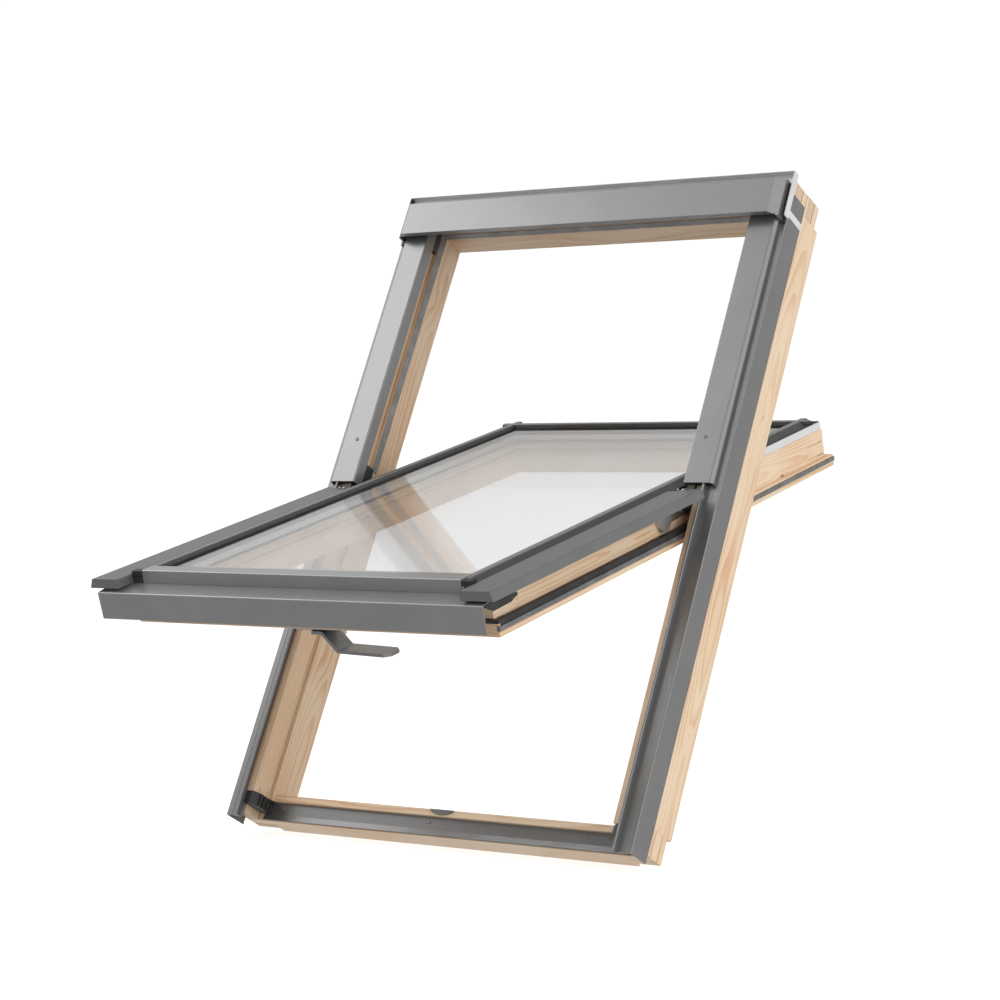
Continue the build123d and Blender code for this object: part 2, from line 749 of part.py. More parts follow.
def handle_lever():
    """Flat lever, bent down from its base and then level with the sash."""
    top = SASH_ROOM - HANDLE_PLATE[2]
    middle = SASH_FOOT + HANDLE_IN
    start, bend, foot, tip = LEVER_PATH
    low = top - LEVER_DROP
    path = [(start, top), (bend, top), (foot, low), (tip, low - LEVER_DIP)]
    width = (middle - LEVER_WIDTH / 2, middle + LEVER_WIDTH / 2)
    body = fold_y(path, *width, thickness=LEVER_THICK, bend=LEVER_BEND)
    corners = body.edges().filter_by(Axis.Z, tolerance=5).group_by(Axis.X)[-1]
    return chamfer(corners, LEVER_CORNER)


def in_roof(shape):
    """Place a piece of the outer frame at the roof's pitch."""
    return Rot(ROOF_PITCH, 0, 0) * Pos(0, 0, -ORIGIN_Z) * shape


def in_sash(shape):
    """Place a piece of the sash about the pivot axis, held open."""
    return in_roof(Pos(0, PIVOT_Y, PIVOT_Z) * Rot(-OPEN_ANGLE, 0, 0) * shape)


def pair(name, shape, pieces):
    """Add the right hand piece and its mirror image."""
    pieces["left_" + name] = other_side(shape)
    pieces["right_" + name] = shape


def frame_pieces():
    pieces = {"frame_bottom_rail": bottom_rail(), "frame_top_rail": top_rail()}
    pair("frame_jamb", jamb(), pieces)
    pair("side_cladding", side_cladding(), pieces)
    pair("upper_cover", upper_cover(), pieces)
    pair("casing_end_plate", end_plate(), pieces)
    pair("corner_block", corner_block(), pieces)
    pair("frame_hinge", frame_hinge(), pieces)
    pieces["top_casing"] = top_casing()
    pieces["flashing_strip"] = flashing_strip()
    pieces["sill_cover"] = sill_cover()
    pieces["frame_seal"] = frame_seal()
    pieces["casing_end_caps"] = both_sides(end_cap())
    pieces["top_corner_clips"] = both_sides(corner_clip())
    pieces["striker_plate"] = striker()
    pieces["side_tab"] = side_tab()
    return pieces


def sash_pieces():
    pieces = {"sash_bottom_rail": sash_rail(-1), "sash_top_rail": sash_rail(1)}
    pair("sash_stile", stile(), pieces)
    pair("sash_side_cladding", sash_side_cladding(), pieces)
    pair("corner_bracket", corner_bracket(), pieces)
    pair("sash_hinge", sash_hinge(), pieces)
    pieces["inner_pane"] = pane(INNER_PANE_Z, INNER_PANE_FOOT)
    pieces["outer_pane"] = pane(OUTER_PANE_Z, OUTER_PANE_FOOT)
    pieces["glass_spacer"] = ring(SPACER_EDGE, SPACER_WIDTH, (INNER_PANE_Z + PANE, OUTER_PANE_Z))
    pieces["glazing_tape"] = ring(0, GLASS_REBATE - PANE_EDGE - 1, (GLASS_SEAT, INNER_PANE_Z))
    pieces["glazing_bead"] = glazing_bead()
    pieces["sash_bottom_cladding"] = sash_bottom_cladding()
    pieces["step_cover"] = step_cover()
    pieces["upper_trim"] = upper_trim()
    pieces["upper_gasket"] = upper_gasket()
    pieces["lip_gasket"] = lip_gasket()
    pieces["lip_blade"] = lip_blade()
    pieces["handle_base"] = handle_base()
    pieces["handle_lever"] = handle_lever()
    return pieces


os.makedirs("parts", exist_ok=True)
for name, shape in frame_pieces().items():
    export_step(in_roof(shape), f"parts/{name}.step")
for name, shape in sash_pieces().items():
    export_step(in_sash(shape), f"parts/{name}.step")
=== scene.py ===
"""Centre-pivot roof window of pine with grey sheet cladding, its sash held open."""
import math

import bmesh
import bpy
from mathutils import Matrix, Vector


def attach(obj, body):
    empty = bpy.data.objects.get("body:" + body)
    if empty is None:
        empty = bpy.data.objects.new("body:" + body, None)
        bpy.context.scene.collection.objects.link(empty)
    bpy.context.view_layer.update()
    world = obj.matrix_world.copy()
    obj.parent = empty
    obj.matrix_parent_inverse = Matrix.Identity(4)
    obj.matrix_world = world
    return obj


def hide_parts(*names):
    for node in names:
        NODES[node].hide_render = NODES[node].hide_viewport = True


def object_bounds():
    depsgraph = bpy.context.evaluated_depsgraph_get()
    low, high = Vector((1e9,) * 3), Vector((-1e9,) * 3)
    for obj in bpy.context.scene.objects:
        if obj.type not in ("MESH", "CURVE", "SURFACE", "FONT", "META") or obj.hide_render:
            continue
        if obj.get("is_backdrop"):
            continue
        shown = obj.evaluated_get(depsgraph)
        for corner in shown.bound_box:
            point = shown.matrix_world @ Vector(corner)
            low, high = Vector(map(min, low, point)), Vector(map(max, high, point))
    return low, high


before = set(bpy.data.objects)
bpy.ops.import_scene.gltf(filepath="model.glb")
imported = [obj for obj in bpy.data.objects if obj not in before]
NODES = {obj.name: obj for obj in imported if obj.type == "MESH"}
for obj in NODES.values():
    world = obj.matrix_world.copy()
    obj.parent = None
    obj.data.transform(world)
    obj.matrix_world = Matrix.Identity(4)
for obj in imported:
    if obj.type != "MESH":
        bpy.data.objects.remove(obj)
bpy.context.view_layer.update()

bl_info = {
    "name": "Roof Window",
    "version": (1, 0, 0),
    "blender": (4, 5, 0),
    "location": "View3D > Sidebar > Roof Window",
    "description": "Dresses a centre-pivot roof window with timber, cladding, glazing and fittings",
    "category": "Object",
}

MM = 0.001
PITCH = math.radians(63.0)
OPENING = math.radians(50.0)
BED = 24.5 * MM
PIVOT = (604.0 * MM, 115.0 * MM)

# Turns the plane of the frame, and that of the sash at its pivot, to where they stand
ROOF = Matrix.Rotation(PITCH, 4, "X") @ Matrix.Translation((0, 0, -BED))
SASH = ROOF @ Matrix.Translation((0, *PIVOT)) @ Matrix.Rotation(-OPENING, 4, "X")

# Each timber's finish, plane, grain direction, heart line, seed, painted shade, knots, the depths
# of its joints' seams and the stretch between its joints. The painted shade darkens the left jamb
# and the top rail, which stand in shade. A knot has its place along and across the grain, its
# depth and its size. Lengths are in millimetres.
FRAME_SEAMS = (29, 50, 71, 92)
SASH_SEAMS = (-67, -56, -45)
TIMBERS = {
    "left_frame_jamb": (
        "PineLeftJambPaintedShade", ROOF, "Y", (-300, 20), 1.0, 0.79,
        ((1000, -345, 30, 13), (300, -345, 30, 12)), FRAME_SEAMS, (43, 1128)),
    "right_frame_jamb": (
        "PineRightJamb", ROOF, "Y", (352, 28), 5.0, 1.0,
        ((760, 392, 30, 9), (210, 392, 22, 8)), FRAME_SEAMS, (43, 1128)),
    "frame_top_rail": (
        "PineTopRailPaintedShade", ROOF, "X", (1190, 30), 17.0, 0.82, (), FRAME_SEAMS, (-339, 339)),
    "frame_bottom_rail": (
        "PineBottomRail", ROOF, "X", (20, -20), 21.0, 1.0, (), FRAME_SEAMS, (-339, 339)),
    "left_sash_stile": (
        "PineLeftStile", SASH, "Y", (-260, -50), 9.0, 1.0, (), SASH_SEAMS, (-548, 470)),
    "right_sash_stile": (
        "PineRightStile", SASH, "Y", (318, -56), 13.0, 1.0,
        ((330, 326, -70, 8),), SASH_SEAMS, (-548, 470)),
    "sash_top_rail": ("PineSashTopRail", SASH, "X", (470, -130), 25.0, 1.0, (), (), ()),
    "sash_bottom_rail": ("PineSashBottomRail", SASH, "X", (-560, -130), 29.0, 1.0, (), (), ()),
}

# Sheets and the coat that each one has. The front, sash and sill coats are tones of the one grey
# coat: the front one lighter as painted light, the sash and sill ones darker as painted shade
SHEETS = {
    # The left cladding takes the darker sill coat as painted shade, where the right one takes the
    # grey coat
    "left_side_cladding": "sill",
    "right_side_cladding": "coat",
    "left_upper_cover": "coat",
    "right_upper_cover": "coat",
    "top_casing": "coat",
    "sill_cover": "sill",
    # The sash's side claddings take the darker sash coat as painted shade
    "left_sash_side_cladding": "sash",
    "right_sash_side_cladding": "sash",
    # The sash's lower front takes the lighter front coat as painted light
    "sash_bottom_cladding": "front",
    "step_cover": "front",
}
LIGHT_TRIMS = ("flashing_strip", "right_casing_end_plate", "side_tab", "upper_trim")
CORNER_BLOCKS = ("left_corner_block", "right_corner_block")
# Black plastic parts, with the left casing end plate made the same dark as painted shade, where the
# right plate is light trim
BLACK_PARTS_AND_SHADED_PLATE = (
    "left_casing_end_plate", "casing_end_caps", "top_corner_clips",
    "left_corner_bracket", "right_corner_bracket", "left_frame_hinge", "right_frame_hinge",
)
GASKETS = ("upper_gasket", "lip_gasket", "glazing_tape")

# What moves inwards for the gutter beside each jamb, in millimetres: how far, then the limits of
# what moves, from the frame's middle line outwards and from its back to its front
UPSTAND_MOVE = (5.0, (365.5, 369.5, 90.0, 1000.0))
SLOPE_MOVE = (9.0, (371.0, 377.5, 90.0, 104.5))
BLOCK_MOVE = (5.0, (0.0, 1000.0, -1000.0, 1000.0))
MOVES = {
    "left_frame_jamb": (UPSTAND_MOVE,),
    "right_frame_jamb": (UPSTAND_MOVE,),
    "left_side_cladding": (SLOPE_MOVE, UPSTAND_MOVE),
    "right_side_cladding": (SLOPE_MOVE, UPSTAND_MOVE),
    "left_corner_block": (BLOCK_MOVE,),
    "right_corner_block": (BLOCK_MOVE,),
}

# Rolled edge of the upstand, in millimetres: across and out from the frame, then its ends
UPSTAND_EDGE = (362.6, 114.2)
UPSTAND_ENDS = (-13.0, 1142.0)

# Fasteners and plugs, in millimetres. All but the sill's screws are on both sides.
SIDES = (-1, 1)
COVER_SCREWS = ((346, 681, 117),)
GUTTER_SCREWS = ((371, 526, 101.3), (371, 76, 101.3))
SILL_SCREWS = ((-318, 23, 50.2), (-24, 23, 50.2), (272, 23, 50.2))
RIVETS = ((330, -30, -8), (339, -30, -8))
PLUGS = (
    (ROOF, (330, 599, 103.8), (372, 608.5, 114)),
    (SASH, (297, -602, -12), (316, -588, -3)),
)
PLUG_EDGE = 1.2 * MM
BLOCK_EDGE = 0.6 * MM

# Edges: points this near are one, flatter bends are no edge, steeper ones are rounded
WELD = 0.001 * MM
FLAT = math.radians(0.5)
SHARP = math.radians(28)

# How often the figure, the fibres and brush marks change in a metre, across the grain and along
FIGURE = (9.0, 1.9)
FIBRES = (900.0, 14.0)
BRUSH_MARKS = (2500.0, 30.0)

# How far the heart line strays sideways and in depth, and how far a growth ring wobbles
HEART_STRAY = (60 * MM, 30 * MM)
RING_WOBBLE = 4 * MM

# A knot's length and its swelling by its width, and where its middle starts and is darkest
KNOT_STRETCH = 3.2
KNOT_SWELL = 0.45
KNOT_MIDDLE = (0.90, 0.985)

# A seam from dark to clear, and the bead's flank and crest, where a painted highlight lies
SEAM = (0.35 * MM, 0.8 * MM)
BEAD_CREST = (-4.5 * MM, -3.4 * MM)

# Studio: even light, the white that the camera sees, then each glow's direction, sharpness and
# strength
SKY_BASE = 0.40
SKY_SEEN = 1.05
SKY_GLOWS = (
    ((0.96, -0.05, 0.28), 4.0, 1.75),
    ((0.0, 0.3, -0.95), 2.0, 0.55),
    ((-0.72, -0.38, 0.58), 10.0, 1.6),
    ((-0.58, 0.75, 0.3), 4.0, 0.42),
)

# Lamp on the left, floor and camera: lengths in metres, the sensor's width in millimetres
SOFTBOX_PLACE = (-1.9, -0.45, 2.15)
SOFTBOX_AIM = (-0.4, 0.4, 0.75)
SOFTBOX_SIZE = 1.5
SOFTBOX_POWER = 13.0
FLOOR_REACH = 60.0
CAMERA_PLACE = (2.3244, -3.3438, 0.6002)
CAMERA_YAW = math.radians(33.59)
CAMERA_TILT = math.radians(0.74)
CAMERA_SENSOR = 36.0


# Shader arithmetic
class Wire:
    """An output socket that can be used in Python arithmetic."""

    def __init__(self, shading, socket):
        self.shading = shading
        self.socket = socket

    def math(self, operation, *values):
        settings = {"operation": operation}
        return self.shading.node("ShaderNodeMath", settings, dict(enumerate(values)))

    def __add__(self, other):
        return self.math("ADD", self, other)

    def __sub__(self, other):
        return self.math("SUBTRACT", self, other)

    def __rsub__(self, other):
        return self.math("SUBTRACT", other, self)

    def __mul__(self, other):
        return self.math("MULTIPLY", self, other)

    def __truediv__(self, other):
        return self.math("DIVIDE", self, other)

    def __pow__(self, other):
        return self.math("POWER", self, other)

    __radd__ = __add__
    __rmul__ = __mul__

    def root(self):
        return self.math("SQRT", self)

    def fraction(self):
        return self.math("FRACT", self)

    def unsigned(self):
        return self.math("ABSOLUTE", self)

    def decay(self):
        """Falls from 1 at zero towards 0 as the value grows."""
        return self.math("POWER", math.e, 0 - self)

    def at_least(self, limit):
        return self.math("MAXIMUM", self, limit)

    def outside(self, low, high):
        """1 below the low value and above the high one, and 0 between them."""
        return self.math("LESS_THAN", self, low) + self.math("GREATER_THAN", self, high)

    def between(self, low, high):
        """Rises smoothly from 0 at the low value to 1 at the high one."""
        settings = {"interpolation_type": "SMOOTHSTEP"}
        return self.shading.node("ShaderNodeMapRange", settings, {0: self, 1: low, 2: high})


class Shading:
    """A node tree and the ways to add to it."""

    def __init__(self, tree):
        self.tree = tree

    def node(self, kind, settings=None, inputs=None, output=0):
        """Adds a node, sets it up, wires it and gives back one of its outputs."""
        made = self.tree.nodes.new(kind)
        for key, value in (settings or {}).items():
            setattr(made, key, value)
        for key, value in (inputs or {}).items():
            self.feed(made.inputs[key], value)
        return Wire(self, made.outputs[output])

    def feed(self, socket, value):
        if isinstance(value, Wire):
            self.tree.links.new(value.socket, socket)
        else:
            socket.default_value = value

    def noise(self, vector, scale, detail=2.0, roughness=0.5):
        values = {"Vector": vector, "Scale": scale, "Detail": detail, "Roughness": roughness}
        return self.node("ShaderNodeTexNoise", None, values)

    def vector(self, x, y, z):
        return self.node("ShaderNodeCombineXYZ", None, {0: x, 1: y, 2: z})

    def stretched(self, vector, scale):
        return self.node("ShaderNodeVectorMath", {"operation": "MULTIPLY"}, {0: vector, 1: scale})

    def along(self, vector, direction):
        """How far a direction points the given way, from -1 to 1."""
        aim = tuple(Vector(direction).normalized())
        settings = {"operation": "DOT_PRODUCT"}
        return self.node("ShaderNodeVectorMath", settings, {0: vector, 1: aim}, 1)

    def axes(self, vector):
        return [self.node("ShaderNodeSeparateXYZ", None, {0: vector}, i) for i in range(3)]

    def blend(self, factor, first, second, how="MIX"):
        settings = {"data_type": "RGBA", "blend_type": how}
        return self.node("ShaderNodeMix", settings, {0: factor, 6: first, 7: second}, 2)


class Finish(Shading):
    """A material and the nodes that make it."""

    def __init__(self, name):
        self.material = bpy.data.materials.new(name)
        self.material.use_nodes = True
        super().__init__(self.material.node_tree)
        self.surface = self.tree.nodes["Principled BSDF"]

    def set(self, **values):
        """Feeds the surface's sockets, whose names have _ in place of spaces here."""
        for key, value in values.items():
            self.feed(self.surface.inputs[key.replace("_", " ")], value)

    def place(self, turn=None):
        """Position on the object, turned back into the plane of the frame or the sash."""
        here = self.node("ShaderNodeTexCoord", output="Object")
        if turn is None:
            return here
        back = turn.inverted()
        settings = {"vector_type": "POINT"}
        values = {"Vector": here, "Location": back.to_translation(), "Rotation": back.to_euler()}
        return self.node("ShaderNodeMapping", settings, values)

    def grain(self, turn, along):
        """Place along the grain, across it and out from the plane."""
        x, y, z = self.axes(self.place(turn))
        return (y, x, z) if along == "Y" else (x, y, z)

    def bump(self, height, distance, strength):
        values = {"Height": height, "Distance": distance, "Strength": strength}
        self.set(Normal=self.node("ShaderNodeBump", None, values))


def tone(red, green, blue):
    """A colour from its 0 to 255 screen values."""
    def linear(c):
        c /= 255
        return c / 12.92 if c <= 0.04045 else ((c + 0.055) / 1.055) ** 2.4
    return (linear(red), linear(green), linear(blue), 1.0)


def grey(value):
    return (value, value, value, 1.0)


def dimmed(colour, factor):
    return tuple(c * factor for c in colour[:3]) + (1.0,)


# Finishes
def knots_in(knots, run, side, deep):
    """Swelling of the growth rings round the knots, and the knots' dark middles."""
    swelling = middles = None
    for knot_run, knot_side, knot_deep, size in knots:
        a = (run - knot_run * MM) / (size * KNOT_STRETCH * MM)
        b = (side - knot_side * MM) / (size * MM)
        c = (deep - knot_deep * MM) / (size * MM)
        near = (a * a + b * b + c * c).decay()
        swell = near * (size * KNOT_SWELL * MM)
        middle = near.between(*KNOT_MIDDLE)
        swelling = swell if swelling is None else swelling + swell
        middles = middle if middles is None else middles + middle
    return swelling, middles


def pine(name, turn, along, heart, seed, painted_shade, knots, seams, joint):
    """Lacquered pine: growth rings round a heart line, fine fibres, small knots, joint seams,
    painted shade.
    """
    props = bpy.context.scene.roof_window_timber
    f = Finish(name)
    run, side, deep = f.grain(turn, along)
    slow = f.vector(side * FIGURE[0], deep * FIGURE[0], run * FIGURE[1] + seed)
    drift = f.noise(slow, 1.0, 1.0) - 0.5
    wobble = f.noise(f.stretched(slow, (4.0, 4.0, 6.0)), 1.0, 1.0) - 0.5
    off_side = side - heart[0] * MM + drift * HEART_STRAY[0]
    off_deep = deep - heart[1] * MM + drift * HEART_STRAY[1]
    reach = (off_side * off_side + off_deep * off_deep).root() + wobble * RING_WOBBLE
    if knots:
        swelling, middles = knots_in(knots, run, side, deep)
        reach = reach + swelling
    rings = (reach / props.ring_spacing).fraction()
    patch = f.noise(f.stretched(slow, (1.5, 1.5, 3.0)), 1.0, 2.0)
    late = rings.between(0.35, 0.92) * (1 - rings.between(0.93, 1.0))
    late = late * (0.35 + 0.65 * patch.between(0.35, 0.65))
    fine = f.vector(side * FIBRES[0], deep * FIBRES[0], run * FIBRES[1])
    streak = f.noise(fine, 1.0, 3.0, 0.6)
    early = f.blend(patch.between(0.3, 0.7), props.early_wood, props.warm_wood)
    wood = f.blend(late * 0.72, early, props.late_wood)
    wood = f.blend((streak - 0.5) * 0.5 + 0.12, wood, props.fibre)
    if knots:
        wood = f.blend(middles * 0.8, wood, props.knot)
    if seams:
        low, high = joint
        lines = [1 - (deep - level * MM).unsigned().between(*SEAM) for level in seams]
        ends = run.outside(low * MM, high * MM)
        wood = f.blend(ends * 0.7 * sum(lines[1:], lines[0]), wood, props.seam)
    # Painted shade: the whole timber is made darker where it stands in shade, the left jamb and the
    # top rail
    if painted_shade != 1.0:
        wood = f.blend(1.0, wood, grey(painted_shade), "MULTIPLY")
    f.set(Base_Color=wood, Roughness=0.42 + streak * 0.16, Specular_IOR_Level=0.42)
    f.bump(streak * 0.6 + rings * 0.4, 0.18 * MM, 0.35)
    return f.material


def coated_sheet(name, base, metal=0.55, rough=0.31, shine=0.5):
    """Satin coated aluminium sheet with a very fine texture."""
    f = Finish(name)
    here = f.place()
    mottle = f.noise(here, 14.0, 3.0)
    grain = f.noise(here, 1500.0, 2.0)
    f.set(
        Base_Color=f.blend(mottle.between(0.3, 0.7), dimmed(base, 0.94), tuple(base)),
        Roughness=rough - 0.03 + 0.05 * mottle + 0.02 * grain,
        Metallic=metal,
        Specular_IOR_Level=shine,
    )
    f.bump(grain, 0.03 * MM, 0.25)
    return f.material


def plain_moulding(name, base, rough):
    """Moulded plastic or rubber with a fine matt grain."""
    f = Finish(name)
    here = f.place()
    grain = f.noise(here, 900.0, 3.0)
    cloud = f.noise(here, 30.0, 2.0)
    f.set(
        Base_Color=f.blend(cloud.between(0.3, 0.75), grey(base), grey(base * 1.5 + 0.004)),
        Roughness=rough + 0.1 * (grain - 0.5),
    )
    f.bump(grain, 0.05 * MM, 0.4)
    return f.material


def bead_rubber(name):
    """Glazing bead of black rubber with a painted highlight of lighter grey along its crest, darker
    on its flanks.
    """
    f = Finish(name)
    crest = f.axes(f.place(SASH))[2].between(*BEAD_CREST)
    grain = f.noise(f.place(), 900.0, 3.0)
    f.set(
        # Painted highlight: lighter grey along the crest
        Base_Color=f.blend(crest, grey(0.05), grey(0.2)),
        Roughness=0.45 + 0.1 * (grain - 0.5),
    )
    f.bump(grain, 0.05 * MM, 0.4)
    return f.material


def brushed(name, base, turn, along, rough=0.3):
    """Bright metal with brush marks along its length."""
    f = Finish(name)
    run, side, deep = f.grain(turn, along)
    marks = f.vector(side * BRUSH_MARKS[0], deep * BRUSH_MARKS[0], run * BRUSH_MARKS[1])
    brush = f.noise(marks, 1.0, 2.0)
    f.set(
        Base_Color=f.blend(brush, grey(base * 0.82), grey(base)),
        Roughness=rough + 0.14 * (brush - 0.5),
        Metallic=1.0,
    )
    f.bump(brush, 0.03 * MM, 0.2)
    return f.material


def clear_glass(name, tint):
    """Clear glass: see-through straight on, mirror-like at a low angle."""
    f = Finish(name)
    facing = f.node("ShaderNodeLayerWeight", None, {"Blend": 0.5}, "Facing")
    smear = f.noise(f.place(), 3.0, 2.0)
    mirror_part = (0.03 + 0.72 * facing ** 5.0) * (0.97 + 0.06 * smear)
    through = f.node("ShaderNodeBsdfTransparent", None, {"Color": grey(tint)})
    glint = f.node("ShaderNodeBsdfGlossy", None, {"Color": grey(0.98), "Roughness": 0.0})
    mix = f.node("ShaderNodeMixShader", None, {0: mirror_part, 1: through, 2: glint})
    f.feed(f.tree.nodes["Material Output"].inputs["Surface"], mix)
    f.tree.nodes.remove(f.surface)
    return f.material


# Shapes
def wear(name, material):
    """Gives a CAD node its finish."""
    mesh = NODES[name].data
    mesh.materials.clear()
    mesh.materials.append(material)


def piece(name, mesh, material):
    """Makes an object from a bmesh and lets it ride on the window."""
    data = bpy.data.meshes.new(name)
    bmesh.ops.recalc_face_normals(mesh, faces=mesh.faces)
    mesh.to_mesh(data)
    mesh.free()
    data.materials.append(material)
    made = bpy.data.objects.new(name, data)
    bpy.context.scene.collection.objects.link(made)
    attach(made, "root")
    return made


def rounded(mesh, edges, width, segments):
    """Rounds some edges of a mesh."""
    bmesh.ops.bevel(
        mesh, geom=edges, offset=width, offset_type="OFFSET", segments=segments, profile=0.5,
        affect="EDGES", clamp_overlap=True, material=-1)


def moved_across(mesh, shift, zone):
    """Moves what lies in the zone towards the middle of the frame."""
    low_x, high_x, low_z, high_z = (limit * MM for limit in zone)
    back = ROOF.inverted()
    for vert in mesh.verts:
        here = back @ vert.co
        if low_x < abs(here.x) < high_x and low_z < here.z < high_z:
            here.x -= math.copysign(shift * MM, here.x)
            vert.co = ROOF @ here


def softened(node, ending, material, width):
    """Replaces a CAD node by a copy whose sharp outer edges are rounded."""
    mesh = bmesh.new()
    mesh.from_mesh(NODES[node].data)
    bmesh.ops.remove_doubles(mesh, verts=mesh.verts, dist=WELD)
    bmesh.ops.dissolve_limit(mesh, angle_limit=FLAT, verts=mesh.verts, edges=mesh.edges)
    for shift, zone in MOVES.get(node, ()):
        moved_across(mesh, shift, zone)
    sharp = [
        e for e in mesh.edges
        if len(e.link_faces) == 2 and e.is_convex and e.calc_face_angle() > SHARP
    ]
    rounded(mesh, sharp, width, 2)
    made = piece(node + ending, mesh, material)
    made.data.shade_flat()
    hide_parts(node)


def screw_head(radius, height):
    """Domed screw head with a socket, standing on the ground plane."""
    head = bmesh.new()
    bmesh.ops.create_cone(
        head, cap_ends=True, segments=20, radius1=radius, radius2=radius * 0.84, depth=height)
    bmesh.ops.translate(head, verts=head.verts, vec=(0, 0, height / 2))
    rim = [e for e in head.edges if all(v.co.z > height * 0.9 for v in e.verts)]
    rounded(head, rim, height * 0.4, 3)
    top = max(head.faces, key=lambda f: f.calc_center_median().z)
    bmesh.ops.inset_individual(head, faces=[top], thickness=radius * 0.3)
    bmesh.ops.translate(head, verts=top.verts, vec=(0, 0, -height * 0.55))
    return head


def rounded_block(low, high, edge):
    """Box between two corners with its edges rounded."""
    box = bmesh.new()
    bmesh.ops.create_cube(box, size=1.0)
    size = [b - a for a, b in zip(low, high)]
    middle = [(a + b) / 2 for a, b in zip(low, high)]
    bmesh.ops.scale(box, verts=box.verts, vec=size)
    bmesh.ops.translate(box, verts=box.verts, vec=middle)
    rounded(box, box.edges[:], edge, 2)
    return box


def rolled_edge(radius, length):
    """Round bar along Y with rounded ends."""
    roll = bmesh.new()
    bmesh.ops.create_cone(
        roll, cap_ends=True, segments=14, radius1=radius, radius2=radius, depth=length)
    ends = [e for e in roll.edges if abs(e.verts[0].co.z - e.verts[1].co.z) < MM]
    rounded(roll, ends, radius * 0.5, 3)
    bmesh.ops.rotate(roll, verts=roll.verts, matrix=Matrix.Rotation(math.pi / 2, 3, "X"))
    return roll


def stamp(mesh, part, turn, *places):
    """Adds a copy of a small part at each place, given in millimetres, and frees the part."""
    data = bpy.data.meshes.new("stamp")
    part.to_mesh(data)
    part.free()
    for place in places:
        moved = data.copy()
        moved.transform(turn @ Matrix.Translation(Vector(place) * MM))
        mesh.from_mesh(moved)
        bpy.data.meshes.remove(moved)
    bpy.data.meshes.remove(data)


def on_both_sides(places):
    return [(side * x, y, z) for x, y, z in places for side in SIDES]


# Sizes and colours
class TimberSizes(bpy.types.PropertyGroup):
    arris: bpy.props.FloatProperty(
        name="Arris", description="Rounding of the timber's edges",
        default=1.0 * MM, unit="LENGTH")
    ring_spacing: bpy.props.FloatProperty(
        name="Ring Spacing", description="Distance between growth rings",
        default=5.0 * MM, unit="LENGTH")
    early_wood: bpy.props.FloatVectorProperty(
        name="Early Wood", description="Pale wood between the rings",
        subtype="COLOR", size=4, default=tone(240, 218, 189))
    warm_wood: bpy.props.FloatVectorProperty(
        name="Warm Wood", description="Warmer patches of pale wood",
        subtype="COLOR", size=4, default=tone(236, 208, 174))
    late_wood: bpy.props.FloatVectorProperty(
        name="Late Wood", description="Darker part of each ring",
        subtype="COLOR", size=4, default=tone(212, 156, 112))
    fibre: bpy.props.FloatVectorProperty(
        name="Fibre", description="Fine streaks along the grain",
        subtype="COLOR", size=4, default=tone(204, 164, 126))
    knot: bpy.props.FloatVectorProperty(
        name="Knot", description="Middle of a knot",
        subtype="COLOR", size=4, default=tone(120, 72, 40))
    seam: bpy.props.FloatVectorProperty(
        name="Seam", description="Dark line of a comb joint",
        subtype="COLOR", size=4, default=tone(88, 58, 36))


class CladdingSizes(bpy.types.PropertyGroup):
    edge: bpy.props.FloatProperty(
        name="Edge", description="Rounding of the sheet's cut edges",
        default=0.4 * MM, unit="LENGTH")
    hem: bpy.props.FloatProperty(
        name="Hem", description="Radius of the rolled edge of the upstand",
        default=1.9 * MM, unit="LENGTH")
    coat: bpy.props.FloatVectorProperty(
        name="Coat", description="Grey coat of the covers, the casing and the right cladding",
        subtype="COLOR", size=4, default=grey(0.26))
    # Lighter copy of the grey coat: painted light
    front: bpy.props.FloatVectorProperty(
        name="Front", description="Grey coat of the sash's lower front",
        subtype="COLOR", size=4, default=grey(0.34))
    # Darker, duller copy of the grey coat: painted shade
    sash: bpy.props.FloatVectorProperty(
        name="Sash", description="Grey coat of the sash's sides",
        subtype="COLOR", size=4, default=grey(0.2))
    # Darker copy of the grey coat: painted shade, on the sill cover and the left cladding
    sill: bpy.props.FloatVectorProperty(
        name="Sill", description="Grey coat of the sill cover and the left cladding",
        subtype="COLOR", size=4, default=grey(0.18))
    trim: bpy.props.FloatVectorProperty(
        name="Trim", description="Light trim", subtype="COLOR", size=4, default=grey(0.8))


class FastenerSizes(bpy.types.PropertyGroup):
    screw: bpy.props.FloatProperty(
        name="Screw", description="Radius of a screw head", default=3.2 * MM, unit="LENGTH")


class StageSizes(bpy.types.PropertyGroup):
    floor: bpy.props.FloatVectorProperty(
        name="Floor", description="Colour of the floor",
        subtype="COLOR", size=4, default=grey(0.5))
    floor_glow: bpy.props.FloatProperty(
        name="Floor Glow", description="Light that the floor gives off, to keep it white",
        default=0.76)
    lens: bpy.props.FloatProperty(
        name="Lens", description="Focal length of the camera in millimetres", default=91.87)
    drop: bpy.props.FloatProperty(
        name="Drop", description="Floor below the window's lowest point",
        default=2.0 * MM, unit="LENGTH")


class ROOFWINDOW_OT_timber(bpy.types.Operator):
    """Outer frame and sash timbers in lacquered pine"""
    bl_idname = "roof_window.timber"
    bl_label = "Timber"

    def execute(self, context):
        arris = context.scene.roof_window_timber.arris
        for node, wood in TIMBERS.items():
            softened(node, "_timber", pine(*wood), arris)
        return {"FINISHED"}


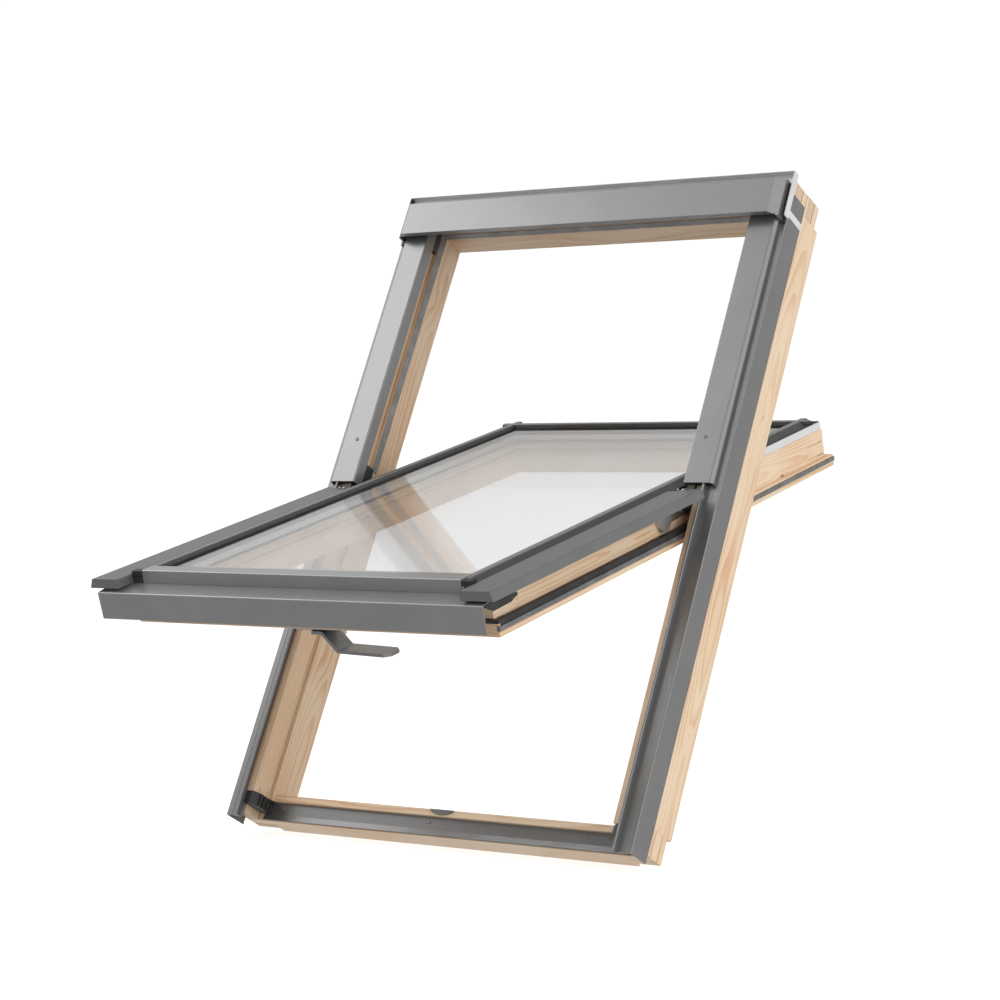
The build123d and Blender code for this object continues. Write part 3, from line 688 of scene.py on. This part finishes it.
class ROOFWINDOW_OT_cladding(bpy.types.Operator):
    """Folded sheet cladding, covers and casing"""
    bl_idname = "roof_window.cladding"
    bl_label = "Cladding"

    def execute(self, context):
        props = context.scene.roof_window_cladding
        # The grey coat and its copies: the front coat lighter as painted light, the sash and sill
        # coats darker as painted shade
        coats = {
            "coat": coated_sheet("GreyCoat", props.coat),
            "front": coated_sheet("FrontCoatPaintedLight", props.front),
            "sash": coated_sheet("SashCoatPaintedShade", props.sash, 0.35, 0.45, 0.2),
            "sill": coated_sheet("SillCoatPaintedShade", props.sill),
        }
        for node, coat in SHEETS.items():
            softened(node, "_sheet", coats[coat], props.edge)
        self.hems(props.hem, coats["coat"])
        trim = coated_sheet("LightTrim", props.trim, 0.2, 0.34)
        for node in LIGHT_TRIMS:
            wear(node, trim)
        return {"FINISHED"}

    def hems(self, radius, coat):
        """Rolled edge along the top of each gutter's upstand."""
        x, z = UPSTAND_EDGE
        low, high = UPSTAND_ENDS
        hems = bmesh.new()
        roll = rolled_edge(radius, (high - low) * MM)
        stamp(hems, roll, ROOF, *on_both_sides([(x, (low + high) / 2, z)]))
        made = piece("upstand_hems", hems, coat)
        made.data.shade_smooth()


class ROOFWINDOW_OT_glazing(bpy.types.Operator):
    """Panes, spacer, bead and gaskets of the sash"""
    bl_idname = "roof_window.glazing"
    bl_label = "Glazing"

    def execute(self, context):
        glass = clear_glass("ClearGlass", 0.97)
        for node in ("outer_pane", "inner_pane"):
            wear(node, glass)
        wear("glass_spacer", brushed("SpacerMetal", 0.75, SASH, "Y"))
        rubber = plain_moulding("BlackRubber", 0.018, 0.62)
        for node in GASKETS:
            wear(node, rubber)
        wear("glazing_bead", bead_rubber("BeadRubberPaintedSheen"))
        wear("frame_seal", plain_moulding("GreySeal", 0.17, 0.55))
        wear("lip_blade", plain_moulding("BladeSeal", 0.13, 0.5))
        return {"FINISHED"}


class ROOFWINDOW_OT_fittings(bpy.types.Operator):
    """Plastic blocks, hinges, striker and handle"""
    bl_idname = "roof_window.fittings"
    bl_label = "Fittings"

    def execute(self, context):
        # Black plastic, also given to the left casing end plate as painted shade
        black_and_painted_shade = plain_moulding("BlackPlasticAndPaintedShade", 0.02, 0.45)
        for node in BLACK_PARTS_AND_SHADED_PLATE:
            wear(node, black_and_painted_shade)
        for node in CORNER_BLOCKS:
            softened(node, "_moulding", black_and_painted_shade, BLOCK_EDGE)
        zinc = brushed("HingeZinc", 0.6, SASH, "X", 0.4)
        for node in ("left_sash_hinge", "right_sash_hinge"):
            wear(node, zinc)
        wear("striker_plate", brushed("StrikerSteel", 0.16, ROOF, "X", 0.4))
        handle = brushed("HandleSteel", 0.34, SASH, "X")
        for node in ("handle_base", "handle_lever"):
            wear(node, handle)
        return {"FINISHED"}


class ROOFWINDOW_OT_fasteners(bpy.types.Operator):
    """Screws, rivets and small plugs"""
    bl_idname = "roof_window.fasteners"
    bl_label = "Fasteners"

    def execute(self, context):
        size = context.scene.roof_window_fasteners.screw
        screws = bmesh.new()
        places = on_both_sides(COVER_SCREWS + GUTTER_SCREWS)
        stamp(screws, screw_head(size, size * 0.5), ROOF, *places)
        stamp(screws, screw_head(size * 0.9, size * 0.4), ROOF, *SILL_SCREWS)
        piece("frame_screws", screws, brushed("ScrewSteel", 0.3, ROOF, "Y", 0.35))
        rivets = bmesh.new()
        stamp(rivets, screw_head(size * 0.5, size * 0.35), SASH, *on_both_sides(RIVETS))
        bright = brushed("RivetSteel", 0.9, SASH, "Y", 0.25)
        piece("cladding_rivets", rivets, bright)
        plugs = bmesh.new()
        for turn, low, high in PLUGS:
            for side in SIDES:
                left, right = sorted((side * low[0], side * high[0]))
                box = rounded_block(
                    (left * MM, low[1] * MM, low[2] * MM),
                    (right * MM, high[1] * MM, high[2] * MM), PLUG_EDGE)
                stamp(plugs, box, turn, (0, 0, 0))
        piece("cover_end_plugs", plugs, plain_moulding("PlugPlastic", 0.015, 0.5))
        return {"FINISHED"}


class ROOFWINDOW_OT_stage(bpy.types.Operator):
    """Floor, soft lights and camera"""
    bl_idname = "roof_window.stage"
    bl_label = "Stage"

    def execute(self, context):
        props = context.scene.roof_window_stage
        scene = context.scene
        scene.view_settings.view_transform = "Standard"
        self.floor(scene, props)
        self.sky(scene)
        self.softbox(scene)
        self.camera(scene, props.lens)
        return {"FINISHED"}

    def floor(self, scene, props):
        """White floor that the window doesn't mirror and isn't lit by."""
        mesh = bmesh.new()
        bmesh.ops.create_grid(mesh, x_segments=1, y_segments=1, size=FLOOR_REACH)
        bmesh.ops.translate(mesh, verts=mesh.verts, vec=(0, 0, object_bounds()[0].z - props.drop))
        data = bpy.data.meshes.new("floor")
        mesh.to_mesh(data)
        mesh.free()
        paper = Finish("FloorPaper")
        grain = paper.noise(paper.place(), 40.0, 2.0)
        paper.set(
            Base_Color=props.floor, Roughness=0.8 + 0.1 * grain, Specular_IOR_Level=0.0,
            Emission_Color=grey(1.0), Emission_Strength=props.floor_glow)
        data.materials.append(paper.material)
        floor = bpy.data.objects.new("floor", data)
        floor.visible_glossy = False
        floor.visible_diffuse = False
        scene.collection.objects.link(floor)
        floor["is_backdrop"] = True

    def sky(self, scene):
        """Soft studio round the window: bright from the right and below, white to the camera."""
        world = bpy.data.worlds.new("studio")
        world.use_nodes = True
        studio = Shading(world.node_tree)
        ray = studio.node("ShaderNodeTexCoord", output="Generated")
        glow = SKY_BASE
        for direction, sharpness, strength in SKY_GLOWS:
            facing = studio.along(ray, direction).at_least(0.0)
            glow = facing ** sharpness * strength + glow
        white = grey(1.0)
        unseen = studio.node("ShaderNodeBackground", None, {"Color": white, "Strength": glow})
        seen = studio.node("ShaderNodeBackground", None, {"Color": white, "Strength": SKY_SEEN})
        camera_ray = studio.node("ShaderNodeLightPath", output="Is Camera Ray")
        mix = studio.node("ShaderNodeMixShader", None, {0: camera_ray, 1: unseen, 2: seen})
        studio.feed(world.node_tree.nodes["World Output"].inputs["Surface"], mix)
        scene.world = world

    def softbox(self, scene):
        """Lamp on the left, which the covers and the casing mirror."""
        lamp = bpy.data.lights.new("left_softbox", "AREA")
        lamp.shape = "SQUARE"
        lamp.size = SOFTBOX_SIZE
        lamp.energy = SOFTBOX_POWER
        holder = bpy.data.objects.new("left_softbox", lamp)
        holder.location = SOFTBOX_PLACE
        away = Vector(SOFTBOX_PLACE) - Vector(SOFTBOX_AIM)
        holder.rotation_euler = away.to_track_quat("Z", "Y").to_euler()
        scene.collection.objects.link(holder)

    def camera(self, scene, lens):
        """Camera at the photograph's place."""
        data = bpy.data.cameras.new("photo_view")
        data.lens = lens
        data.sensor_width = CAMERA_SENSOR
        holder = bpy.data.objects.new("photo_view", data)
        holder.location = CAMERA_PLACE
        holder.rotation_euler = (math.pi / 2 - CAMERA_TILT, 0, CAMERA_YAW)
        scene.collection.objects.link(holder)
        scene.camera = holder


class ROOFWINDOW_PT_panel(bpy.types.Panel):
    """Steps that dress the roof window"""
    bl_label = "Roof Window"
    bl_space_type = "VIEW_3D"
    bl_region_type = "UI"
    bl_category = "Roof Window"

    def draw(self, context):
        for operator in OPERATORS:
            self.layout.operator(operator.bl_idname)
        for group in GROUPS:
            props = getattr(context.scene, group)
            for key in props.__annotations__:
                self.layout.prop(props, key)


GROUPS = {
    "roof_window_timber": TimberSizes,
    "roof_window_cladding": CladdingSizes,
    "roof_window_fasteners": FastenerSizes,
    "roof_window_stage": StageSizes,
}
OPERATORS = (
    ROOFWINDOW_OT_timber,
    ROOFWINDOW_OT_cladding,
    ROOFWINDOW_OT_glazing,
    ROOFWINDOW_OT_fittings,
    ROOFWINDOW_OT_fasteners,
    ROOFWINDOW_OT_stage,
)


def register():
    for group, kind in GROUPS.items():
        bpy.utils.register_class(kind)
        setattr(bpy.types.Scene, group, bpy.props.PointerProperty(type=kind))
    for kind in (*OPERATORS, ROOFWINDOW_PT_panel):
        bpy.utils.register_class(kind)


def unregister():
    for kind in (ROOFWINDOW_PT_panel, *reversed(OPERATORS)):
        bpy.utils.unregister_class(kind)
    for group, kind in GROUPS.items():
        delattr(bpy.types.Scene, group)
        bpy.utils.unregister_class(kind)


def main():
    register()
    bpy.ops.roof_window.timber()
    bpy.ops.roof_window.cladding()
    bpy.ops.roof_window.glazing()
    bpy.ops.roof_window.fittings()
    bpy.ops.roof_window.fasteners()
    bpy.ops.roof_window.stage()


if __name__ == "__main__":
    main()
